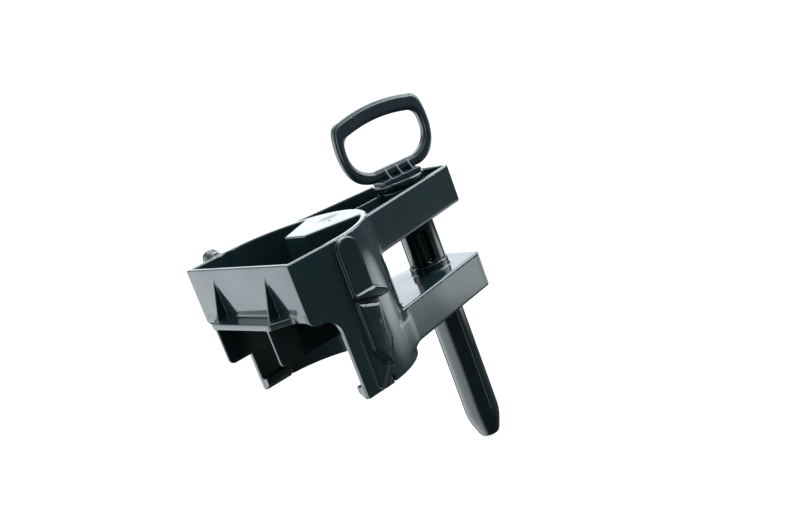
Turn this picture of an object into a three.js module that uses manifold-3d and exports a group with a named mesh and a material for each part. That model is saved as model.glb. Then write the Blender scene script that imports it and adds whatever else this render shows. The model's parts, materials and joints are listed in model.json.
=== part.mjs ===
// Clip-on clevis bracket with a drop pin and a ring handle, moulded in black plastic.
//
// Frame: millimetres, +Z up. The origin is on the axis of the half-round saddle, at the
// underside of the tray floor, where the carrier tongue bears. +X points at the clevis arms
// and the drop pin, +Y at the side that carries the tie knob.
import * as THREE from "three";
import { mergeVertices } from "three/addons/utils/BufferGeometryUtils.js";
import Module from "manifold-3d";

const wasm = await Module();
wasm.setup();

// ---------------------------------------------------------------- driving dimensions
const GAP = 0.3; // seam left between neighbouring solids
const WALL = 2.2; // tray and arm walls
const SEGMENTS = 48; // facets in a full turn of a large curve

const SADDLE_R = 40.6; // outside of the half-round saddle
const SADDLE_WALL = 3;
const SADDLE_INNER_R = SADDLE_R - SADDLE_WALL;
const SADDLE_BOTTOM = -40.2;

const RIM_Z = 25; // top rim of the tray and of the upper arm
const END_X = -23.3; // flat end face of the tray
const FLOOR = 2.8; // thickness of the tray floor and its flange
const SIDE_DROP = 2.8; // how far the side walls hang below the floor's underside
const SIDE_CORNER = 4; // rounded lower corner of each side wall

const FLANGE_X = -31; // outer edge of the flange
const FLANGE_HALF = 22.6; // half width of the flange at its outer edge
const FLANGE_ROOT_HALF = 30.5; // half width of the flange at the end face
const RIB_Y = 20.5; // gussets above the flange and side plates below it
const RIB_T = 1.6;
const GUSSET_OUT = 6;
const GUSSET_TOP = 20;
const SIDE_PLATE_BOTTOM = -16.7;
const SIDE_PLATE_CORNER = 3;

const ARM_ROOT_X = 28;
const ARM_ROOT_HALF = 29.4;
const ARM_TIP_X = 93;
const ARM_TIP_HALF = 13.8;
const ARM_CORNER = 3.4; // radius of the upright corners at the arm tips
const UPPER_ARM_BOTTOM = 7.1;
const LOWER_ARM_TOP = -18.6;
const LOWER_ARM_BOTTOM = -35.6;

const WEB_NOSE_X = 9.8; // fan-shaped web that closes the saddle's top
const WEB_NOSE_HALF = 7.7;
const WEB_ROOT_X = 31.4;
const WEB_ROOT_HALF = 20.6;
const WEB_T = 1.6;
const DIMPLE_X = 29.6;
const DIMPLE_R = 5.6;
const DIMPLE_DEPTH = 0.6;

const LEG_BACK_X = -10; // snap legs, one under each side wall
const LEG_TIP_X = 4.8;
const LEG_SHOULDER_X = 11.8;
const LEG_BOTTOM = -40.4;
const LEG_T = 2.8;
const LEG_FILLET_X = -16; // where the fillet meets the wall's lower edge
const LEG_FILLET_Z = -13;
const LEG_TAPER_Z = -22.6; // the right edge runs straight down to here, then tapers
const LEG_KNEE = new THREE.Vector2(7.6, -32);
const LEG_TAPER_END_Z = -36;
const SLIT = 0.7; // between a leg and the saddle
const HOOK_OUT = 3.5;
const HOOK_TOP = -35.4;
const HOOK_LIP_Z = -38.2;
const RIDGE_OUT = 1.8; // raised arrow ridge on the outside of each leg
const RIDGE_TOP = [-3.4, -6.4]; // at its left and its right edge

const PAD_X = [0, 10.4]; // round-topped pad above each leg
const PAD_OUT = 2.2;
const PAD_BOTTOM = 0.9;
const LEDGE_X = [0, 16.4]; // leaf-shaped thumb ledge below each pad
const LEDGE_OUT = 3;
const LEDGE_TOP = 0.6;
const LEDGE_BOTTOM = -4.4;

const KNOB = new THREE.Vector3(-6.5, 45.2, 23.8); // tie knob on the rear wall
const KNOB_R = 4.3;
const KNOB_NECK_R = 2.6;

const PIN_X = 73.1;
const PIN_SEGMENTS = 32;
const PIN_R = 8.1; // lower length of the drop pin
const PIN_UPPER_R = 8.7;
const PIN_CLEARANCE = 0.3;
const PIN_TIP = -105.4;
const PIN_TURN = THREE.MathUtils.degToRad(-11); // the pin stands turned in its holes
const POCKET = { half: 2.2, floor: 6.3, top: 1, bottom: -12.6, turn: -13 }; // turn in degrees
const LOWER_BOSS_R = 10.2; // below the lower arm's deck
const COLLAR_R = 9.4; // above the deck
const LOWER_BOSS_TOP = -14.6;
const UPPER_BOSS_R = 11.4;
const UPPER_BOSS_TOP = 23.2;
const ARM_RIB_TOP = 23.4;
const ARM_RIB_T = 1.4;

const HEAD_R = 12.2;
const HEAD_BOTTOM = 23.7;
const HEAD_TOP = 27;
const BASE_TOP = 28.8; // block between the head and the ring
const BASE_HALF = [10, 6.2];
const RING_T = 5;
const RING_BOTTOM = 29.1;
const HANDLE_RIB_X = [-5.8, 0, 5.8];
const HANDLE_RIB_T = 1;

// ---------------------------------------------------------------- materials
const moulding = new THREE.MeshStandardMaterial({ color: 0x14181a, roughness: 0.22, metalness: 0 });
const pinPlastic = new THREE.MeshStandardMaterial({ color: 0x0c1013, roughness: 0.18, metalness: 0 });
const handlePlastic = new THREE.MeshStandardMaterial({ color: 0x171d20, roughness: 0.42, metalness: 0 });

// ---------------------------------------------------------------- solid helpers
function solid(geometry) {
  const bare = geometry.clone();
  bare.deleteAttribute("normal");
  bare.deleteAttribute("uv");
  const merged = mergeVertices(bare, 1e-4);
  return new wasm.Manifold(
    new wasm.Mesh({
      numProp: 3,
      vertProperties: merged.attributes.position.array,
      triVerts: new Uint32Array(merged.index.array),
    }),
  );
}

function toGeometry(manifold) {
  const mesh = manifold.getMesh();
  const indexed = new THREE.BufferGeometry();
  indexed.setAttribute("position", new THREE.BufferAttribute(mesh.vertProperties, 3));
  indexed.setIndex(new THREE.BufferAttribute(mesh.triVerts, 1));
  const flat = indexed.toNonIndexed();
  flat.computeVertexNormals();
  return flat;
}

function outline(points) {
  return new THREE.Shape(points.map(([a, b]) => new THREE.Vector2(a, b)));
}

// A plan outline (x, y) raised from z = low to z = high.
function raised(shape, low, high, curveSegments = 12) {
  const geometry = new THREE.ExtrudeGeometry(shape, {
    depth: high - low,
    bevelEnabled: false,
    curveSegments,
  });
  return solid(geometry.translate(0, 0, low));
}

// A side outline (x, z) thickened from y = low to y = high.
function upright(shape, low, high, curveSegments = 8) {
  const geometry = new THREE.ExtrudeGeometry(shape, {
    depth: high - low,
    bevelEnabled: false,
    curveSegments,
  });
  return solid(geometry.rotateX(Math.PI / 2).translate(0, high, 0));
}

// A solid of revolution about an upright axis at (x, y); profile points are (radius, z).
function turned(profile, x = 0, y = 0, segments = SEGMENTS) {
  const points = profile.map(([r, z]) => new THREE.Vector2(r, z));
  const geometry = new THREE.LatheGeometry(points, segments);
  return solid(geometry.rotateX(Math.PI / 2).translate(x, y, 0));
}

function cylinder(radius, low, high, x = 0, y = 0, segments = SEGMENTS) {
  return turned([[0, low], [radius, low], [radius, high], [0, high]], x, y, segments);
}

function block(min, max) {
  const size = max.map((value, i) => value - min[i]);
  const centre = max.map((value, i) => (value + min[i]) / 2);
  return solid(new THREE.BoxGeometry(...size).translate(...centre));
}

const pieces = new THREE.Group();
pieces.name = "clevis_bracket";
const drop_pin = new THREE.Group(); // turned about the pin's axis
drop_pin.position.set(PIN_X, 0, 0);
drop_pin.rotation.z = PIN_TURN;
pieces.add(drop_pin);

function add(name, manifold, material = moulding, group = pieces) {
  const mesh = new THREE.Mesh(toGeometry(manifold), material);
  mesh.name = name;
  group.add(mesh);
}

// Makes a piece on the -Y side and its mirror image on the +Y side.
function addPair(name, manifold) {
  add(`front_${name}`, manifold);
  add(`rear_${name}`, manifold.mirror([0, 1, 0]));
}

// ---------------------------------------------------------------- tray
// The floor is cut into three stretches by the side plates, which run up between them.
function trayFloor() {
  const inner = SADDLE_INNER_R - GAP;
  const wallFace = SADDLE_R - WALL - GAP;
  const shape = new THREE.Shape();
  shape.moveTo(FLANGE_X, -FLANGE_HALF);
  shape.lineTo(END_X, -FLANGE_ROOT_HALF);
  shape.lineTo(END_X, -wallFace);
  shape.lineTo(0, -wallFace);
  shape.lineTo(0, -inner);
  shape.absarc(0, 0, inner, -Math.PI / 2, Math.PI / 2, false);
  shape.lineTo(0, wallFace);
  shape.lineTo(END_X, wallFace);
  shape.lineTo(END_X, FLANGE_ROOT_HALF);
  shape.lineTo(FLANGE_X, FLANGE_HALF);
  const floor = raised(shape, 0, FLOOR, SEGMENTS / 2);
  const edge = RIB_Y - RIB_T / 2 - GAP;
  const beyond = RIB_Y + RIB_T / 2 + GAP;
  const middle = block([FLANGE_X - 1, -edge, -1], [SADDLE_R, edge, FLOOR + 1]);
  const side = block([FLANGE_X - 1, -SADDLE_R, -1], [SADDLE_R, -beyond, FLOOR + 1]);
  add("tray_floor", floor.intersect(middle));
  addPair("tray_floor_side", floor.intersect(side));
}

function trayEndWall() {
  return block([END_X, -SADDLE_R, FLOOR + GAP], [END_X + WALL, SADDLE_R, RIM_Z]);
}

// The foot of each side wall passes under the end wall.
function traySideWall() {
  const start = END_X + WALL + GAP;
  const shape = new THREE.Shape();
  shape.moveTo(-GAP, RIM_Z);
  shape.lineTo(start, RIM_Z);
  shape.lineTo(start, FLOOR);
  shape.lineTo(END_X, FLOOR);
  shape.lineTo(END_X, SIDE_CORNER - SIDE_DROP);
  shape.quadraticCurveTo(END_X, -SIDE_DROP, END_X + SIDE_CORNER, -SIDE_DROP);
  shape.lineTo(-GAP, -SIDE_DROP);
  return upright(shape, -SADDLE_R, -SADDLE_R + WALL);
}

// The half-round shell, with a window on each side where a snap leg stands.
function saddleShell() {
  const shape = new THREE.Shape();
  shape.moveTo(0, -SADDLE_R);
  shape.absarc(0, 0, SADDLE_R, -Math.PI / 2, Math.PI / 2, false);
  shape.lineTo(0, SADDLE_INNER_R);
  shape.absarc(0, 0, SADDLE_INNER_R, Math.PI / 2, -Math.PI / 2, true);
  const shell = raised(shape, SADDLE_BOTTOM, RIM_Z, SEGMENTS / 2);
  const below = SADDLE_BOTTOM - 1;
  const window = outline([
    [-1, -SIDE_DROP],
    [-1, below],
    [LEG_TIP_X + SLIT, below],
    [LEG_TIP_X + SLIT, LEG_TAPER_END_Z],
    [LEG_KNEE.x + SLIT, LEG_KNEE.y],
    [LEG_SHOULDER_X + SLIT, LEG_TAPER_Z],
    [LEG_SHOULDER_X + SLIT, -SIDE_DROP],
  ]);
  return shell.subtract(upright(window, -SADDLE_R - 1, SADDLE_R + 1));
}

// ---------------------------------------------------------------- web under the saddle's top
function webOutline() {
  const angle = Math.atan2(WEB_ROOT_HALF, WEB_ROOT_X);
  const radius = SADDLE_INNER_R - GAP;
  const shape = new THREE.Shape();
  shape.moveTo(WEB_NOSE_X, -WEB_NOSE_HALF);
  shape.lineTo(radius * Math.cos(angle), -radius * Math.sin(angle));
  shape.absarc(0, 0, radius, -angle, angle, false);
  shape.lineTo(WEB_NOSE_X, WEB_NOSE_HALF);
  return shape;
}

function webCap() {
  const cap = raised(webOutline(), RIM_Z - WEB_T, RIM_Z);
  const bowl = [0, 0.5, 0.8, 1].map((share) => [
    share * DIMPLE_R,
    RIM_Z - DIMPLE_DEPTH * (1 - share ** 2),
  ]);
  const cutter = turned([...bowl, [DIMPLE_R, RIM_Z + 1], [0, RIM_Z + 1]], DIMPLE_X, 0, 24);
  return cap.subtract(cutter);
}

function webSideWall() {
  const top = RIM_Z - WEB_T - GAP;
  const run = new THREE.Vector2(WEB_ROOT_X - WEB_NOSE_X, WEB_NOSE_HALF - WEB_ROOT_HALF).normalize();
  const inward = new THREE.Vector2(-run.y, run.x).multiplyScalar(WALL);
  const start = new THREE.Vector2(WEB_NOSE_X, -WEB_NOSE_HALF).addScaledVector(run, WALL + GAP);
  const end = new THREE.Vector2(WEB_NOSE_X, -WEB_NOSE_HALF).addScaledVector(run, 2 * SADDLE_R);
  const wall = raised(
    outline([
      [start.x, start.y],
      [end.x, end.y],
      [end.x + inward.x, end.y + inward.y],
      [start.x + inward.x, start.y + inward.y],
    ]),
    FLOOR + GAP,
    top,
  );
  return wall.intersect(cylinder(SADDLE_INNER_R - GAP, 0, RIM_Z));
}

function webNoseWall() {
  return block(
    [WEB_NOSE_X, -WEB_NOSE_HALF, FLOOR + GAP],
    [WEB_NOSE_X + WALL, WEB_NOSE_HALF, RIM_Z - WEB_T - GAP],
  );
}

// ---------------------------------------------------------------- clevis arms
function armSideLine(x, inset) {
  const slope = (ARM_TIP_HALF - ARM_ROOT_HALF) / (ARM_TIP_X - ARM_ROOT_X);
  return ARM_ROOT_HALF + slope * (x - ARM_ROOT_X) - inset * Math.hypot(1, slope);
}

function armOutline(inset, tipX) {
  const rootX = 20;
  const shape = new THREE.Shape();
  const half = armSideLine(tipX, inset);
  shape.moveTo(rootX, -armSideLine(rootX, inset));
  shape.lineTo(tipX - ARM_CORNER, -armSideLine(tipX - ARM_CORNER, inset));
  shape.quadraticCurveTo(tipX, -half, tipX, -half + ARM_CORNER);
  shape.lineTo(tipX, half - ARM_CORNER);
  shape.quadraticCurveTo(tipX, half, tipX - ARM_CORNER, armSideLine(tipX - ARM_CORNER, inset));
  shape.lineTo(rootX, armSideLine(rootX, inset));
  return shape;
}

function clearOfSaddle(manifold) {
  return manifold.subtract(cylinder(SADDLE_R + GAP, SADDLE_BOTTOM - 1, RIM_Z + 1));
}

function armPlate(low, high, holeR) {
  const plate = raised(armOutline(0, ARM_TIP_X), low, high, 4);
  const hole = cylinder(holeR, low - 1, high + 1, PIN_X, 0, PIN_SEGMENTS);
  return clearOfSaddle(plate).subtract(hole);
}

// The rim wall of an arm, cut into two sides and an end.
function armWalls(prefix, low, high) {
  const rim = clearOfSaddle(
    raised(armOutline(0, ARM_TIP_X), low, high, 4).subtract(
      raised(armOutline(WALL, ARM_TIP_X - WALL), low - 1, high + 1, 4),
    ),
  );
  const split = ARM_TIP_X - WALL - ARM_CORNER;
  const far = ARM_TIP_X + 1;
  const wide = SADDLE_R + 1;
  add(`${prefix}_end_wall`, rim.intersect(block([split, -wide, low - 1], [far, wide, high + 1])));
  const sides = rim.intersect(block([0, -wide, low - 1], [split - GAP, wide, high + 1]));
  add(`${prefix}_front_wall`, sides.intersect(block([0, -wide, low - 1], [far, 0, high + 1])));
  add(`${prefix}_rear_wall`, sides.intersect(block([0, 0, low - 1], [far, wide, high + 1])));
}

function boss(outerR, boreR, low, high) {
  return turned(
    [[boreR, low], [outerR, low], [outerR, high], [boreR, high], [boreR, low]],
    PIN_X,
    0,
    PIN_SEGMENTS,
  );
}

function armRib() {
  const rib = block(
    [SADDLE_R - 2, -ARM_RIB_T / 2, UPPER_ARM_BOTTOM + WALL + GAP],
    [PIN_X, ARM_RIB_T / 2, ARM_RIB_TOP],
  );
  return clearOfSaddle(rib).subtract(cylinder(UPPER_BOSS_R + GAP, 0, RIM_Z, PIN_X, 0));
}

// ---------------------------------------------------------------- flange and side plates
function flangeGusset() {
  const shape = outline([
    [END_X - GAP, FLOOR + GAP],
    [END_X - GAP, GUSSET_TOP],
    [END_X - GUSSET_OUT, FLOOR + GAP],
  ]);
  return upright(shape, -RIB_Y - RIB_T / 2, -RIB_Y + RIB_T / 2);
}

function sidePlate() {
  const radius = SADDLE_INNER_R - GAP;
  const endX = Math.sqrt(radius ** 2 - (RIB_Y + RIB_T / 2) ** 2);
  const shape = new THREE.Shape();
  shape.moveTo(FLANGE_X, FLOOR);
  shape.lineTo(FLANGE_X, SIDE_PLATE_BOTTOM + SIDE_PLATE_CORNER);
  shape.absarc(
    FLANGE_X + SIDE_PLATE_CORNER,
    SIDE_PLATE_BOTTOM + SIDE_PLATE_CORNER,
    SIDE_PLATE_CORNER,
    Math.PI,
    Math.PI * 1.5,
    false,
  );
  shape.lineTo(endX, SIDE_PLATE_BOTTOM);
  shape.lineTo(endX, FLOOR);
  return upright(shape, -RIB_Y - RIB_T / 2, -RIB_Y + RIB_T / 2);
}

// ---------------------------------------------------------------- pads, ledges and knob
function clearOfWall(manifold) {
  const wall = block([END_X, -SADDLE_R - GAP, -60], [0, SADDLE_R, 60]);
  return manifold.subtract(wall).subtract(cylinder(SADDLE_R + GAP, -60, 60));
}

function pad() {
  const [low, high] = PAD_X;
  const radius = (high - low) / 2;
  const shape = new THREE.Shape();
  shape.moveTo(low, PAD_BOTTOM);
  shape.lineTo(high, PAD_BOTTOM);
  shape.lineTo(high, RIM_Z - 0.4 - radius);
  shape.absarc(low + radius, RIM_Z - 0.4 - radius, radius, 0, Math.PI, false);
  return clearOfWall(upright(shape, -SADDLE_R - PAD_OUT, -SADDLE_R + SADDLE_WALL));
}

// The leaf's upper edge is level under the pad, and its lower edge slopes over the leg.
function ledge() {
  const [low, high] = LEDGE_X;
  const padEnd = PAD_X[1];
  const shape = new THREE.Shape();
  shape.moveTo(low, LEDGE_TOP - 1);
  shape.lineTo(low, LEDGE_TOP);
  shape.lineTo(padEnd, LEDGE_TOP);
  shape.lineTo(high - 1.8, LEDGE_TOP - 1.9);
  shape.quadraticCurveTo(high + 0.8, LEDGE_BOTTOM + 0.4, high - 0.8, LEDGE_BOTTOM);
  shape.lineTo(padEnd + 1, LEDGE_BOTTOM);
  const leaf = clearOfWall(upright(shape, -SADDLE_R - LEDGE_OUT, -SADDLE_R + SADDLE_WALL, 5));
  const legRoom = block([-1, -SADDLE_R - GAP, LEDGE_BOTTOM - 1], [LEG_SHOULDER_X + SLIT, 0, LEDGE_TOP]);
  return leaf.subtract(legRoom);
}

function tieKnob() {
  const ball = solid(new THREE.SphereGeometry(KNOB_R, 16, 10).rotateX(Math.PI / 2));
  const neck = solid(
    new THREE.CylinderGeometry(KNOB_NECK_R, KNOB_NECK_R, KNOB.y - SADDLE_R, 16).translate(
      0,
      -(KNOB.y - SADDLE_R) / 2 + GAP / 2,
      0,
    ),
  );
  const knob = ball.add(neck).translate([KNOB.x, KNOB.y, KNOB.z]);
  return knob.subtract(block([END_X, 0, 0], [0, SADDLE_R + GAP, 60]));
}

// ---------------------------------------------------------------- snap legs
function legOutline() {
  const shape = new THREE.Shape();
  shape.moveTo(LEG_FILLET_X, -SIDE_DROP - GAP);
  shape.quadraticCurveTo(LEG_BACK_X, -SIDE_DROP - GAP - 0.6, LEG_BACK_X, LEG_FILLET_Z);
  shape.lineTo(LEG_BACK_X, LEG_BOTTOM);
  shape.lineTo(LEG_TIP_X, LEG_BOTTOM);
  shape.lineTo(LEG_TIP_X, LEG_TAPER_END_Z);
  shape.lineTo(LEG_KNEE.x, LEG_KNEE.y);
  shape.lineTo(LEG_SHOULDER_X, LEG_TAPER_Z);
  shape.lineTo(LEG_SHOULDER_X, -SIDE_DROP - GAP);
  return shape;
}

// An arrow-shaped ridge whose tail runs down to the leg's lower edge.
function legRidge() {
  const shape = outline([
    [0, RIDGE_TOP[0]],
    [0, -23.4],
    [4.5, -30.6],
    [4.8, -33.1],
    [-2.6, -39.5],
    [0, -39.9],
    [LEG_KNEE.x - 0.3, -32.1],
    [LEG_SHOULDER_X - 0.3, LEG_TAPER_Z],
    [LEG_SHOULDER_X - 0.3, RIDGE_TOP[1]],
  ]);
  return upright(shape, -SADDLE_R - RIDGE_OUT, -SADDLE_R + 1);
}

// The hook is a wedge, so that it rides over the edge it snaps under.
function legHook() {
  const face = -SADDLE_R + LEG_T;
  const shape = outline([
    [face - 1, LEG_BOTTOM],
    [face + 0.8, LEG_BOTTOM],
    [face + HOOK_OUT, HOOK_LIP_Z],
    [face + HOOK_OUT, HOOK_TOP],
    [face - 1, HOOK_TOP],
  ]);
  const geometry = new THREE.ExtrudeGeometry(shape, {
    depth: LEG_TIP_X - LEG_BACK_X,
    bevelEnabled: false,
  });
  // The outline's first axis lies along Y and its second along Z; the depth runs along X.
  geometry.rotateX(Math.PI / 2).rotateZ(Math.PI / 2).translate(LEG_BACK_X, 0, 0);
  return solid(geometry);
}

function snapLeg() {
  const body = upright(legOutline(), -SADDLE_R, -SADDLE_R + LEG_T);
  return body.add(legRidge()).add(legHook());
}

// ---------------------------------------------------------------- drop pin and handle
// The plain lower length is a solid of revolution, so only the upper length shows a turn.
function pinLowerLength() {
  const profile = [
    [0, PIN_TIP],
    [3.2, PIN_TIP],
    [5, PIN_TIP + 1.6],
    [7.4, PIN_TIP + 8],
    [PIN_R, PIN_TIP + 13],
    [PIN_R, LOWER_BOSS_TOP],
    [0, LOWER_BOSS_TOP],
  ];
  return turned(profile, 0, 0, PIN_SEGMENTS);
}

function pinUpperLength() {
  const shaft = cylinder(PIN_UPPER_R, LOWER_BOSS_TOP + GAP, HEAD_BOTTOM - GAP, 0, 0, PIN_SEGMENTS);
  return shaft.subtract(pinPocket(0)).subtract(pinPocket(180));
}

// A round-ended pocket that cores out one side of the pin's upper length.
function pinPocket(degrees) {
  const { half, floor, top, bottom, turn } = POCKET;
  const shape = new THREE.Shape();
  shape.moveTo(-half, bottom + half);
  shape.absarc(0, bottom + half, half, Math.PI, 2 * Math.PI, false);
  shape.absarc(0, top - half, half, 0, Math.PI, false);
  return upright(shape, -PIN_UPPER_R - 1, -floor, 5).rotate([0, 0, turn + degrees]);
}

function pinHead() {
  const bevel = 0.6;
  const profile = [
    [0, HEAD_BOTTOM],
    [HEAD_R - bevel, HEAD_BOTTOM],
    [HEAD_R, HEAD_BOTTOM + bevel],
    [HEAD_R, HEAD_TOP - bevel],
    [HEAD_R - bevel, HEAD_TOP],
    [0, HEAD_TOP],
  ];
  const disc = turned(profile, 0, 0, PIN_SEGMENTS);
  const [halfX, halfY] = BASE_HALF;
  return disc.add(block([-halfX, -halfY, HEAD_TOP - 1], [halfX, halfY, BASE_TOP]));
}

// Each half of the ring's outline is drawn from the bottom up and mirrored.
function ringOutline(path, { bottom, foot, side, shoulder, corner, crown }) {
  path.moveTo(-foot, bottom);
  path.lineTo(foot, bottom);
  path.quadraticCurveTo(side.x - 1, bottom + 1.8, side.x, side.y);
  path.lineTo(shoulder.x, shoulder.y);
  path.quadraticCurveTo(shoulder.x - 0.6, corner.y, corner.x, corner.y);
  path.quadraticCurveTo(0, 2 * crown - corner.y, -corner.x, corner.y);
  path.quadraticCurveTo(-shoulder.x + 0.6, corner.y, -shoulder.x, shoulder.y);
  path.lineTo(-side.x, side.y);
  path.quadraticCurveTo(-side.x + 1, bottom + 1.8, -foot, bottom);
  return path;
}

function pullRing() {
  const shape = ringOutline(new THREE.Shape(), {
    bottom: RING_BOTTOM,
    foot: 13,
    side: new THREE.Vector2(24.6, 44.5),
    shoulder: new THREE.Vector2(24.2, 53.5),
    corner: new THREE.Vector2(18.6, 61),
    crown: 63.4,
  });
  shape.holes.push(
    ringOutline(new THREE.Path(), {
      bottom: 34.2,
      foot: 11,
      side: new THREE.Vector2(20.2, 43.8),
      shoulder: new THREE.Vector2(20.1, 49.5),
      corner: new THREE.Vector2(15.8, 53.9),
      crown: 55.9,
    }),
  );
  const ring = upright(shape, -RING_T / 2, RING_T / 2, 8);
  return HANDLE_RIB_X.reduce((body, x) => body.add(handleRib(x)), ring);
}

// A rib that braces the ring's lower bar on both faces.
function handleRib(x) {
  const half = BASE_HALF[1] - 0.2;
  const shape = outline([
    [-half, RING_BOTTOM],
    [half, RING_BOTTOM],
    [RING_T / 2, RING_BOTTOM + 3.8],
    [-RING_T / 2, RING_BOTTOM + 3.8],
  ]);
  const geometry = new THREE.ExtrudeGeometry(shape, { depth: HANDLE_RIB_T, bevelEnabled: false });
  geometry.rotateX(Math.PI / 2).rotateZ(Math.PI / 2).translate(x - HANDLE_RIB_T / 2, 0, 0);
  return solid(geometry);
}

// ---------------------------------------------------------------- assembly
trayFloor();
add("tray_end_wall", trayEndWall());
addPair("tray_wall", traySideWall());
add("saddle_shell", saddleShell());
add("web_cap", webCap());
addPair("web_wall", webSideWall());
add("web_nose", webNoseWall());

const upperHole = PIN_UPPER_R + PIN_CLEARANCE;
const lowerHole = PIN_R + PIN_CLEARANCE;
add("upper_arm_floor", armPlate(UPPER_ARM_BOTTOM, UPPER_ARM_BOTTOM + WALL, upperHole));
armWalls("upper_arm", UPPER_ARM_BOTTOM + WALL + GAP, RIM_Z);
add("upper_pin_boss", boss(UPPER_BOSS_R, upperHole, UPPER_ARM_BOTTOM + WALL + GAP, UPPER_BOSS_TOP));
add("upper_arm_rib", armRib());
add(
  "lower_arm_deck",
  armPlate(LOWER_ARM_TOP - WALL, LOWER_ARM_TOP, lowerHole).add(
    boss(COLLAR_R, lowerHole, LOWER_ARM_TOP - WALL, LOWER_BOSS_TOP),
  ),
);
armWalls("lower_arm", LOWER_ARM_BOTTOM, LOWER_ARM_TOP - WALL - GAP);
const lowerBossTop = LOWER_ARM_TOP - WALL - GAP;
add("lower_pin_boss", boss(LOWER_BOSS_R, lowerHole, LOWER_ARM_BOTTOM + 2, lowerBossTop));

addPair("flange_gusset", flangeGusset());
addPair("side_plate", sidePlate());
addPair("pad", pad());
addPair("thumb_ledge", ledge());
add("tie_knob", tieKnob());
addPair("snap_leg", snapLeg());

add("pin_lower_length", pinLowerLength(), pinPlastic, drop_pin);
add("pin_upper_length", pinUpperLength(), pinPlastic, drop_pin);
add("pin_head", pinHead(), pinPlastic, drop_pin);
add("pull_ring", pullRing(), handlePlastic, drop_pin);

export default pieces;
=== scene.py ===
"""Visual model of a clip-on clevis bracket with a drop pin and a ring handle.

Each moulding is modelled as one distance field, in millimetres, so that its walls run into
each other through small fillets as a moulding does. OpenVDB turns the field into a mesh.
"""

import json
import math

import bmesh
import bpy
import numpy as np
import openvdb
from mathutils import Matrix, Vector


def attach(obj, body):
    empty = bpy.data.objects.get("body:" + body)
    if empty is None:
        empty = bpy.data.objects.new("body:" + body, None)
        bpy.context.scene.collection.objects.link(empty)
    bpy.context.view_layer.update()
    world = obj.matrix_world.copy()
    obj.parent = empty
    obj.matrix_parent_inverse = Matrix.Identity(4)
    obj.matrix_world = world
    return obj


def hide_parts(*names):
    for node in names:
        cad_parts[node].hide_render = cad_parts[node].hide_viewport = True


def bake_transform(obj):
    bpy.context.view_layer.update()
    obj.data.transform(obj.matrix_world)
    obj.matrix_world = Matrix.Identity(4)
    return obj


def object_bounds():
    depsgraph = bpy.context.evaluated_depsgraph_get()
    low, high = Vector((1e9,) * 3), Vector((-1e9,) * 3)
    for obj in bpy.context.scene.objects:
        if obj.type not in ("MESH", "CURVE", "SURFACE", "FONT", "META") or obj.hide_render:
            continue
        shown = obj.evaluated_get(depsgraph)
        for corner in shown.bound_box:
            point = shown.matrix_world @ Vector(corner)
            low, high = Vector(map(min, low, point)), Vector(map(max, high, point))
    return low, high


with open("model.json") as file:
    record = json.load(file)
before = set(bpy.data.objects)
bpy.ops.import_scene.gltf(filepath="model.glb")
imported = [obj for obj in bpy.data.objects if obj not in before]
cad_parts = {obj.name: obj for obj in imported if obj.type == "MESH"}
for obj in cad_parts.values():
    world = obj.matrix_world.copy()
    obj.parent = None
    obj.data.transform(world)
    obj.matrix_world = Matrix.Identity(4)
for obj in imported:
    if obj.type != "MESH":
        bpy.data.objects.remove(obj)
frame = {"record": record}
cad_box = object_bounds()

MM = 0.001
BAND = 4.0  # fields are cut off at this distance from the surface, in millimetres
MARGIN = 3.2  # how far outside its own box a shape's field is worked out
VOXEL, RING_VOXEL = 0.3, 0.25
# How far OpenVDB may merge faces on flat stretches, from 0 (not at all) to 1.
BRACKET_MERGE, PIN_LOWER_MERGE, FINE_MERGE = 0.01, 0.002, 0.005

# ------------------------------------------------------------------ dimensions, in millimetres
WALL = 2.2  # tray and arm walls
SADDLE_R, SADDLE_INNER_R, SADDLE_BOTTOM = 40.6, 37.6, -40.2
RIM = 25.0  # height of the walls' top edges
WALL_TOP = RIM + 3  # the walls are made this high, and rim() trims them
END_X = -23.3  # outer face of the tray's end wall
FLOOR = 2.8
SIDE_DROP, SIDE_CORNER = 2.8, 4  # how far the side walls hang below the floor
FLANGE_X, FLANGE_HALF, FLANGE_ROOT = -31.0, 22.6, 30.5
PLATE_Y, PLATE_T, PLATE_BOTTOM, PLATE_CORNER = 20.5, 1.6, -16.7, 3
GUSSET_T, GUSSET_FOOT_X, GUSSET_TOP = 1.2, -29.3, 20.5
LEG_BACK_X, LEG_FOOT, LEG_T, LEG_FILLET = -10, -40.4, 2.8, 8
HOOK_INNER, HOOK_OUTER = 34.3, 39  # how far each leg's hook reaches in towards the middle
PAD_LENGTH, PAD_T = 10.4, 2.2
WEB_NOSE_X, WEB_NOSE_HALF, WEB_WIDEST_X, WEB_WIDEST_HALF = 9.8, 7.7, 31.4, 20.6
ARM_TIP_X, ARM_TIP_HALF, ARM_ROOT_X, ARM_ROOT_HALF = 93.0, 13.8, 28.0, 29.4
ARM_EDGE, ARM_TIP_CORNER = 0.8, 3.4
UPPER_ARM_BOTTOM, UPPER_DECK_TOP = 7.1, 9.4
LOWER_ARM_BOTTOM, LOWER_DECK_BOTTOM, LOWER_ARM_TOP = -35.6, -21, -18.6
UPPER_BOSS_R, UPPER_BOSS_TOP, UPPER_BORE_R = 11.4, 23.2, 9.05
LOWER_BOSS_R, COLLAR_R, COLLAR_TOP, LOWER_BORE_R = 10.2, 9.4, -14.6, 8.45
RIB_T, RIB_TOP = 1.4, 23.4
PIN_X = 73.1
PIN_TURN = math.radians(-11)  # how the pin and its ring stand turned at rest
PIN_R, PIN_UPPER_R, PIN_TIP = 8.1, 8.7, -105.4
POCKET_TURN = math.radians(-13)  # how the pockets stand turned from the ring
POCKET_HALF, POCKET_TOP, POCKET_BOTTOM, POCKET_FLOOR, POCKET_FLARE = 1.0, 0.7, -13.0, 6.3, 0.45
HINGE_Z = -4.75  # the legs are split from the bracket here


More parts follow.
